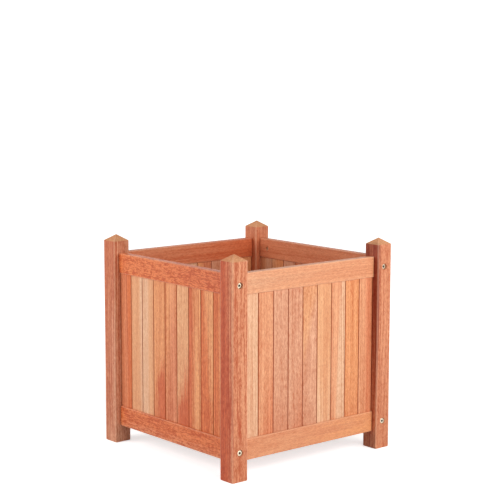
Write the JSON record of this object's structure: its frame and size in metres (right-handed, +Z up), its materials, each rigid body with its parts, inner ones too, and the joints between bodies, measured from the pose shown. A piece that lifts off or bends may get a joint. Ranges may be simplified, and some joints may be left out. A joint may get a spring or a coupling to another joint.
{
  "type": "slatted square planter",
  "caption": "Square hardwood planter with pointed corner posts, framed tongue-and-groove slat panels and a slatted floor.",
  "frame": {"origin": "on the ground, under the centre of the planter", "axes": "+Z up; the front panel faces -Y and the left panel faces -X; the bolts show on the front and back faces of the posts"},
  "size_m": [0.5, 0.5, 0.52],
  "materials": {
    "post_wood": "planed red-brown hardwood, grain upright, oiled to a soft sheen, edges eased",
    "rail_wood": "planed orange-brown hardwood, grain along the rail, oiled to a soft sheen",
    "slat_wood": "planed hardwood boards of mixed tone, pale tan to red-brown, grain upright, oiled",
    "floor_wood": "planed hardwood, left duller than the outside",
    "bolt_steel": "zinc-plated steel with a faint yellow passivation"
  },
  "bodies": {
    "root": {"post_front_left": "post_wood", "post_front_right": "post_wood", "post_back_right": "post_wood", "post_back_left": "post_wood", "rail_front_top": "rail_wood", "rail_front_bottom": "rail_wood", "rail_right_top": "rail_wood", "rail_right_bottom": "rail_wood", "rail_back_top": "rail_wood", "rail_back_bottom": "rail_wood", "rail_left_top": "rail_wood", "rail_left_bottom": "rail_wood", "slat_front_1": "slat_wood", "slat_front_2": "slat_wood", "slat_front_3": "slat_wood", "slat_front_4": "slat_wood", "slat_front_5": "slat_wood", "slat_front_6": "slat_wood", "slat_front_7": "slat_wood", "slat_front_8": "slat_wood", "slat_front_9": "slat_wood", "slat_right_1": "slat_wood", "slat_right_2": "slat_wood", "slat_right_3": "slat_wood", "slat_right_4": "slat_wood", "slat_right_5": "slat_wood", "slat_right_6": "slat_wood", "slat_right_7": "slat_wood", "slat_right_8": "slat_wood", "slat_right_9": "slat_wood", "slat_back_1": "slat_wood", "slat_back_2": "slat_wood", "slat_back_3": "slat_wood", "slat_back_4": "slat_wood", "slat_back_5": "slat_wood", "slat_back_6": "slat_wood", "slat_back_7": "slat_wood", "slat_back_8": "slat_wood", "slat_back_9": "slat_wood", "slat_left_1": "slat_wood", "slat_left_2": "slat_wood", "slat_left_3": "slat_wood", "slat_left_4": "slat_wood", "slat_left_5": "slat_wood", "slat_left_6": "slat_wood", "slat_left_7": "slat_wood", "slat_left_8": "slat_wood", "slat_left_9": "slat_wood", "bolt_front_left_top": "bolt_steel", "bolt_front_left_bottom": "bolt_steel", "bolt_front_right_top": "bolt_steel", "bolt_front_right_bottom": "bolt_steel", "bolt_back_right_top": "bolt_steel", "bolt_back_right_bottom": "bolt_steel", "bolt_back_left_top": "bolt_steel", "bolt_back_left_bottom": "bolt_steel", "floor_board_1": "floor_wood", "floor_board_2": "floor_wood", "floor_board_3": "floor_wood", "floor_board_4": "floor_wood"}
  },
  "joints": []
}
